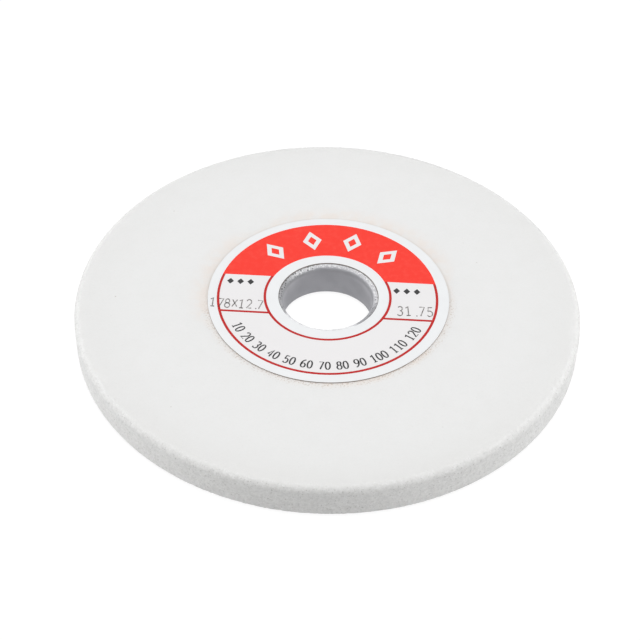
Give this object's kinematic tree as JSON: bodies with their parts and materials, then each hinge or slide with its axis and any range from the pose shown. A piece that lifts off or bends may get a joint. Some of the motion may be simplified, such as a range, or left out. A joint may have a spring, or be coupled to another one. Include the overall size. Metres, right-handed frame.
{
  "type": "grinding wheel",
  "caption": "Straight white vitrified grinding wheel with a grey arbor bush with rounded mouths and a paper blotter on each face, the front one printed in red.",
  "frame": {"origin": "on the bore axis, in the plane of the back blotter's outer face, which the wheel lies on", "axes": "+Z along the bore out of the printed face, +X along the printed rules, +Y towards the printed band"},
  "size_m": [0.1778, 0.1778, 0.0135],
  "materials": {
    "abrasive": "matte",
    "bush": "satin",
    "paper": "matte",
    "red_print": "satin",
    "black_print": "satin"
  },
  "bodies": {
    "root": {"abrasive_wheel": "abrasive", "arbor_bush": "bush", "front_blotter": "paper", "back_blotter": "paper", "label_print": "red_print"}
  },
  "joints": []
}
